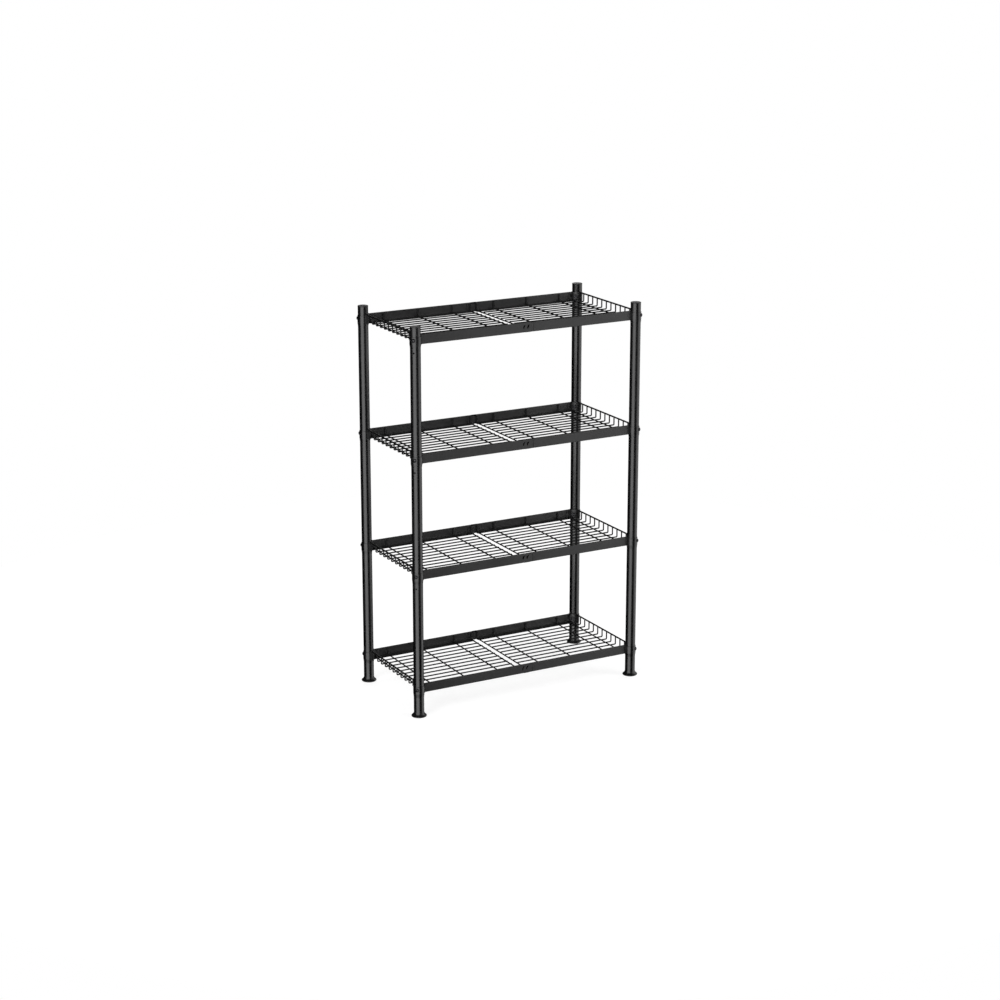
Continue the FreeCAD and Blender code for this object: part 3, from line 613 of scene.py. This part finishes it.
# %% Welds of the decks
ROWS = 12
FIRST_ROW = 19.4 * MM
ROW_STEP = (2 * POST_Y - 2 * FIRST_ROW) / (ROWS - 1)
EDGE_CROSS = 8.75 * MM
INNER_CROSS = [57.55 * MM, 150.55 * MM, 243.55 * MM]
OUTER_CROSS = POST_X - 17.8 * MM
CONTACT = 3.75 * MM
CROSS_LEVEL = 2.65 * MM
FENCE = POST_X - 3.9 * MM
FENCE_TOP = 22.9 * MM
SIDE_WIRE = POST_X - 2.45 * MM
SIDE_TOP = 23.5 * MM
SADDLE = 15.3 * MM
RAIL_CONTACT = 1.1 * MM
TONGUE_CONTACT = 2.3 * MM
SADDLE_CONTACT = 2.7 * MM
RAIL_WELDS = (11.0 * MM, 15.0 * MM)
AT_CROSSING = (1.55 * MM, 0.6 * MM, 0.25)
AT_FENCE = (1.5 * MM, 0.6 * MM, 0.15)
AT_SIDE_WIRE_END = (2.6 * MM, 1.1 * MM, 0.0)
AT_SADDLE = (1.9 * MM, 0.8 * MM, 0.1)
AT_RAIL = (1.7 * MM, 0.7 * MM, 0.1)

rows = [-POST_Y + FIRST_ROW + row * ROW_STEP for row in range(ROWS)]
for number, level in enumerate(SHELF_LEVELS, start=1):
    mesh = bmesh.new()
    for side in (-1, 1):
        for y in rows:
            for x in (EDGE_CROSS, *INNER_CROSS, OUTER_CROSS):
                nugget(mesh, (side * x, y, level + CONTACT), (0, 0, 1), AT_CROSSING)
            nugget(mesh, (side * FENCE, y, level + FENCE_TOP), (side, 0, 0), AT_FENCE)
        for end in (-1, 1):
            side_wire_end = (side * SIDE_WIRE, end * (POST_Y - SADDLE), level + SIDE_TOP)
            nugget(mesh, side_wire_end, (0, 1, 0), AT_SIDE_WIRE_END)
            cross_wire_end = (side * OUTER_CROSS, end * (POST_Y - SADDLE_CONTACT), level + CROSS_LEVEL)
            nugget(mesh, cross_wire_end, (0, 1, 0), AT_SADDLE)
            for x, depth in [(EDGE_CROSS, TONGUE_CONTACT)] + [(x, RAIL_CONTACT) for x in INNER_CROSS]:
                for height in RAIL_WELDS:
                    nugget(mesh, (side * x, end * (POST_Y - depth), level + height), (0, 1, 0), AT_RAIL)
    make_piece("shelf_%d_wire_welds" % number, mesh, "coated_wire", 50.0)

# %% [markdown]
# ### Beads at the saddles
# A saddle's wings are welded to the rail by hand with a gun, so the bead is a row of overlapping puddles. It
# runs down the end of the wing, a little askew. The wing beside the fence is only tacked to the first
# turned-up wire.

# %% Welds of the saddles
WING_END = POST_X - 25.2 * MM
WING_FACE = POST_Y - 1.5 * MM
TACK = (POST_X - 2.95 * MM, POST_Y - FIRST_ROW)
TACK_LEVEL = 10.0 * MM
PUDDLES = 8
FIRST_PUDDLE = 2.6 * MM
PUDDLE_STEP = 2.3 * MM
PUDDLE_LEAN = (0.35, 0.5)
PUDDLE_SIZE = (1.45 * MM, 1.5 * MM, 0.0)
TACK_SIZE = (1.8 * MM, 0.8 * MM, 0.1)

for number, level in enumerate(SHELF_LEVELS, start=1):
    mesh = bmesh.new()
    for side_x, side_y, _ in CORNERS:
        leaning = (PUDDLE_LEAN[0] * side_x, PUDDLE_LEAN[1] * side_y, 1.0)
        for puddle in range(PUDDLES):
            height = level + FIRST_PUDDLE + PUDDLE_STEP * puddle
            nugget(mesh, (side_x * WING_END, side_y * WING_FACE, height), leaning, PUDDLE_SIZE)
        nugget(mesh, (side_x * TACK[0], side_y * TACK[1], level + TACK_LEVEL), (1, 0, 0), TACK_SIZE)
    make_piece("shelf_%d_saddle_welds" % number, mesh, "coated_sheet", 50.0)

# %% [markdown]
# ### Screws with a real thread and recess
# Each joint is held by a pan-head screw. In CAD it is a smooth bar with a square-cut cross, which is enough
# for fit. A made one is cold-formed: the cross recess has sloping walls, the head's rim is rounded, and the
# thread is rolled. Both are drawn here as height over a fine grid, so no boolean is needed: the recess is a
# smooth pit in the dome, and the thread is a wave that climbs as it goes round.

# %% Screw shape
HEAD = 4.5 * MM
DOME = 2.3 * MM
RIM = 0.7 * MM
BEARING = 13.6 * MM
SHANK = 2.5 * MM
TIP = 21.25 * MM
PITCH = 0.8 * MM
THREAD = 0.26 * MM
SMOOTH_END = -18.0 * MM
THREAD_START = -18.2 * MM
THREAD_STEPS = 34
POINT = 0.6 * MM
TAPER = 0.8
DOME_RINGS = 26
ROUNDING = 0.15 * MM
UNDERSIDE = 0.2 * MM
ARM_HALF, ARM_SOFT = 0.55 * MM, 0.14 * MM
ARM_REACH, REACH_SOFT = 2.3 * MM, 0.3 * MM
RECESS_DEEP = 1.6 * MM
SCREW_LEVEL = 12.55 * MM
AROUND = 48


def fade(value, edge, width):
    """1 inside the edge, 0 outside, smooth between."""
    share = min(max((edge + width - value) / (2 * width), 0.0), 1.0)
    return share * share * (3 - 2 * share)


def recess(y, z):
    """Depth of the cross recess. It has two arms, one along each of the two directions."""
    arms = [fade(abs(across), ARM_HALF, ARM_SOFT) * fade(abs(along), ARM_REACH, REACH_SOFT)
            for across, along in ((y, z), (z, y))]
    return RECESS_DEEP * max(arms)


def screw_rings():
    """Rings from the middle of the head to the tip, the screw's own X pointing out through the head."""
    dome_radius = (HEAD * HEAD + DOME * DOME) / (2 * DOME)
    rings = []

    def ring(radius, along):
        """One ring. A radius may change with the angle, and without a place along X it lies on the dome."""
        made = []
        for step in range(AROUND):
            angle = math.tau * step / AROUND
            reach = radius(angle) if callable(radius) else radius
            y = reach * math.cos(angle)
            z = reach * math.sin(angle)
            if along is None:
                dome = math.sqrt(dome_radius ** 2 - reach ** 2) - (dome_radius - DOME)
                made.append(Vector((BEARING + RIM + dome - recess(y, z), y, z)))
            else:
                made.append(Vector((along, y, z)))
        rings.append(made)

    for share in range(1, DOME_RINGS + 1):
        ring((HEAD - ROUNDING) * share / DOME_RINGS, None)
    for radius, height in ((HEAD, RIM), (HEAD, UNDERSIDE), (HEAD - ROUNDING, 0.0), (SHANK, 0.0)):
        ring(radius, BEARING + height)
    ring(SHANK, SMOOTH_END)
    for step in range(THREAD_STEPS + 1):
        along = THREAD_START - (TIP + THREAD_START) * step / THREAD_STEPS
        narrow = max(0.0, (abs(along) - (TIP - POINT))) * TAPER

        def thread(angle):
            groove = 0.5 + 0.5 * math.cos(math.tau * along / PITCH - angle)
            return SHANK - narrow - THREAD * groove

        ring(thread, along)
    return rings


screw_shape = screw_rings()
print("rings in one screw:", len(screw_shape), "of", AROUND, "points")

# %% [markdown]
# Each screw points out of its corner. No fitter stops all the crosses at one angle, so each is twisted by its
# own random turn. All sixteen are one mesh, as the CAD node that they replace is.

# %% Screws in their joints
mesh = bmesh.new()
for level in SHELF_LEVELS:
    for side_x, side_y, outwards in CORNERS:
        aim = Matrix.Rotation(math.radians(outwards), 3, "Z")
        twist = Matrix.Rotation(weld_random.uniform(0.0, math.tau), 3, "X")
        joint = Vector((side_x * POST_X, side_y * POST_Y, level + SCREW_LEVEL))
        skin(mesh, [[joint + aim @ (twist @ point) for point in ring] for ring in screw_shape])
screws = make_piece("rolled_screws", mesh, "screw_steel", 40.0)
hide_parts("post_screws")

# %% [markdown]
# ### Nuts with chamfered corners
# A forged nut's corners are turned off by a cone on both faces, which leaves the curved edge that each flat
# shows. The ring at the corners is the same hexagon, moved back by as much as the cone takes.

# %% Nuts
NUT_FACE = 15.25 * MM
NUT_THICK = 4.0 * MM
NUT_FLAT = 4.0 * MM
NUT_BORE = 2.55 * MM
NUT_LEAD = 0.35 * MM
CHAMFER_START = NUT_FLAT - 0.08 * MM
CONE = math.tan(math.radians(30.0))


def hexagon(angle):
    """Distance from a nut's axis to its side at an angle. A corner is at angle zero."""
    return NUT_FLAT / math.cos((angle % (math.pi / 3)) - math.pi / 6)


def nut_rings():
    """Rings from the bore's near edge, over the outside, to its far edge, the nut's axis along X."""
    outlines = []
    for step in range(AROUND):
        angle = math.tau * step / AROUND
        side = hexagon(angle)
        taken = (side - CHAMFER_START) * CONE
        outline = ((NUT_BORE, NUT_LEAD), (NUT_BORE + NUT_LEAD, 0.0), (CHAMFER_START, 0.0), (side, taken),
                   (side, NUT_THICK - taken), (CHAMFER_START, NUT_THICK), (NUT_BORE + NUT_LEAD, NUT_THICK),
                   (NUT_BORE, NUT_THICK - NUT_LEAD))
        outlines.append([Vector((NUT_FACE + along, radius * math.cos(angle), radius * math.sin(angle)))
                         for radius, along in outline])
    return list(zip(*outlines))


mesh = bmesh.new()
nut_shape = nut_rings()
for level in SHELF_LEVELS:
    for side_x, side_y, outwards in CORNERS:
        aim = Matrix.Rotation(math.radians(outwards + 180.0), 3, "Z")
        twist = Matrix.Rotation(weld_random.uniform(0.0, math.tau), 3, "X")
        joint = Vector((side_x * POST_X, side_y * POST_Y, level + SCREW_LEVEL))
        skin(mesh, [[joint + aim @ (twist @ point) for point in ring] for ring in nut_shape], endless=True)
nuts = make_piece("chamfered_nuts", mesh, "nut_steel", 28.0)
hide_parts("saddle_nuts")

# %% [markdown]
# ## The studio
# Black gloss paint is lit by what it mirrors. A tall post mirrors a band of the room all round it, so the room
# is built as a photographer builds it: a wide soft box on the left, another on the right with a dark gap
# between them, and black flags behind, overhead and underneath. White shows wherever no card stands. These
# cards are seen only in reflections. The light that falls on the surfaces comes from three soft area lamps of
# a plain level.

# %% Studio helpers
WHITE = (1.0, 1.0, 1.0, 1.0)
BLACK = (0.0, 0.0, 0.0, 1.0)
ROOM = 4.0
FLAG_BEHIND = 0.15
LID_LEVEL = 3.1
LID_OVERHANG = 0.2
WALL_STEP = 6.0
LID_STEP = 15


def stage_finish(name, colour, strength):
    material = bpy.data.materials.new(name)
    material.use_nodes = True
    tree = material.node_tree
    tree.nodes.clear()
    out = add_node(tree, "ShaderNodeOutputMaterial")
    glow = add_node(tree, "ShaderNodeEmission")
    glow.inputs["Color"].default_value = colour
    glow.inputs["Strength"].default_value = strength
    join(tree, glow.outputs["Emission"], out.inputs["Surface"])
    return material


def direction(azimuth):
    """Azimuth 0 is the front of the rack, and it grows towards the right."""
    turn = math.radians(azimuth)
    return Vector((math.sin(turn), -math.cos(turn), 0.0))


def disc(level, radius, step):
    """A flat round mesh with a corner at every step degrees."""
    mesh = bmesh.new()
    rim = [direction(azimuth) * radius for azimuth in range(0, 360, step)]
    mesh.faces.new([mesh.verts.new((point.x, point.y, level)) for point in rim])
    return mesh


def card(name, mesh, strength):
    """A wall of light, or a black flag at strength 0, that only reflections see."""
    made = mesh_object(name, mesh, stage_finish(name, WHITE if strength else BLACK, strength))
    made.visible_camera = False
    made.visible_diffuse = False
    made.visible_shadow = False
    made.visible_transmission = False
    made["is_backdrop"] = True
    return made


def curved_wall(start, end, low, high, radius, lean):
    """A wall bent round the rack, from one azimuth to another. Its first edge leans by some degrees."""
    steps = max(2, int(abs(end - start) / WALL_STEP))
    mesh = bmesh.new()
    columns = []
    for step in range(steps + 1):
        share = step / steps
        column = []
        for z, shift in ((low, 0.0), (high, lean * (1.0 - share))):
            point = direction(start + (end - start) * share + shift) * radius
            column.append(mesh.verts.new((point.x, point.y, z)))
        columns.append(column)
    for left, right in zip(columns, columns[1:]):
        mesh.faces.new((left[0], right[0], right[1], left[1]))
    return mesh


print("studio helpers ready")

# %% [markdown]
# ### Soft boxes and flags
# Each row is a card's name, where it starts and ends round the rack, its foot, its top, its strength and its
# lean. Flags stand just behind the boxes, so a box covers a flag where the two overlap. The right box's first
# edge is what ends the dark stripe on every post, and its lean lets that stripe drift a little up the post.

# %% Cards
cards = []
for name, start, end, low, high, strength, lean in (
        ("left_box", -83.0, -20.0, -2.6, 2.6, 3.3, 0.0),
        ("right_box", 39.0, 100.0, -2.6, 2.6, 1.6, -15.0),
        ("front_gap", -40.0, 38.0, -3.2, 3.2, 0.0, 0.0),
        ("left_flag", -195.0, -76.0, -3.2, 3.1, 0.0, 0.0),
        ("back_low_flag", -235.0, -194.0, -3.2, 0.9, 0.0, 0.0),
        ("back_high_flag", -235.0, -194.0, 2.4, 3.1, 0.0, 0.0),
        ("right_flag", 95.0, 130.0, -3.2, 0.9, 0.0, 0.0)):
    radius = ROOM if strength else ROOM + FLAG_BEHIND
    cards.append(card(name, curved_wall(start, end, low, high, radius, lean), strength))
cards.append(card("top_flag", disc(LID_LEVEL, ROOM + LID_OVERHANG, LID_STEP), 0.0))
cards.append(card("floor_flag", disc(-LID_LEVEL, ROOM + LID_OVERHANG, LID_STEP), 0.0))
print("cards:", [made.name for made in cards])

# %% [markdown]
# ### Lamps
# The lamps aren't seen in reflections, because the cards are. Each is a soft disc at a plain level, aimed at
# the middle of the rack.

# %% Lamps
AIM_LEVEL = 0.45
LAMP_DISTANCE = 3.6


def soft_lamp(name, azimuth, rise, size, watts):
    data = bpy.data.lights.new(name, "AREA")
    data.shape = "DISK"
    data.size = size
    data.energy = watts
    lamp = bpy.data.objects.new(name, data)
    scene.collection.objects.link(lamp)
    level = math.radians(rise)
    away = direction(azimuth) * math.cos(level) + Vector((0.0, 0.0, math.sin(level)))
    middle = Vector((0.0, 0.0, AIM_LEVEL))
    lamp.location = middle + away * LAMP_DISTANCE
    lamp.rotation_mode = "QUATERNION"
    lamp.rotation_quaternion = (-away).to_track_quat("-Z", "Y")
    lamp.visible_glossy = False
    lamp.visible_camera = False
    print("lamp", name, watts, "W")


soft_lamp("left_lamp", -62.0, 32.0, 1.8, 62.0)
soft_lamp("right_lamp", 48.0, 28.0, 1.8, 46.0)
soft_lamp("top_lamp", 150.0, 72.0, 2.4, 50.0)

# %% [markdown]
# ### World
# The backdrop is white where it is seen directly or in a reflection. Light that it sheds on matt surfaces is
# kept lower, so the lamps shape the rack. The ray's kind decides, through the Light Path node.

# %% World
SHED_LIGHT = 0.28
world = bpy.data.worlds.new("studio")
world.use_nodes = True
scene.world = world
sky = world.node_tree
background = sky.nodes["Background"]
background.inputs["Color"].default_value = WHITE
path = add_node(sky, "ShaderNodeLightPath")
seen = math_node(sky, "ADD", path.outputs["Is Camera Ray"], path.outputs["Is Glossy Ray"])
seen = math_node(sky, "ADD", seen, path.outputs["Is Transmission Ray"])
join(sky, remap(sky, seen, 0.0, 1.0, SHED_LIGHT, 1.0), background.inputs["Strength"])
print("world strength for matt surfaces:", SHED_LIGHT)

# %% [markdown]
# ### Floor
# The floor is a disc under the rack that keeps its soft shadow. Most of its white is glow, which shadows can't
# take away, and the rest is matt paint, which they can. So the shadow stays faint and the rim doesn't show
# against the backdrop.

# %% Floor
FLOOR_RADIUS = 1.7
FLOOR_PAINT = 0.32
FLOOR_GLOW = 0.78
RIM_STEP = 5
pale = bpy.data.materials.new("pale_floor")
pale.use_nodes = True
tree = pale.node_tree
tree.nodes.clear()
out = add_node(tree, "ShaderNodeOutputMaterial")
matt = add_node(tree, "ShaderNodeBsdfDiffuse")
matt.inputs["Color"].default_value = grey(FLOOR_PAINT)
glow = add_node(tree, "ShaderNodeEmission")
light_path = add_node(tree, "ShaderNodeLightPath")
seen = math_node(tree, "ADD", light_path.outputs["Is Camera Ray"], light_path.outputs["Is Glossy Ray"])
seen = math_node(tree, "ADD", seen, light_path.outputs["Is Transmission Ray"])
join(tree, math_node(tree, "MULTIPLY", seen, FLOOR_GLOW), glow.inputs["Strength"])
both = add_node(tree, "ShaderNodeAddShader")
join(tree, matt.outputs["BSDF"], both.inputs[0])
join(tree, glow.outputs["Emission"], both.inputs[1])
join(tree, both.outputs["Shader"], out.inputs["Surface"])
floor = mesh_object("floor", disc(0.0, FLOOR_RADIUS, RIM_STEP), pale)
floor.visible_glossy = False
floor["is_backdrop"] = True
scene.view_settings.view_transform = "Standard"
print("floor radius:", FLOOR_RADIUS, "m")

# %% [markdown]
# ## The visual box
# The box round everything that renders, the backdrop and the cards left out, is printed.

# %% Visual box
low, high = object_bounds()
print("visual box:", [round(v, 4) for v in (*low, *high)])
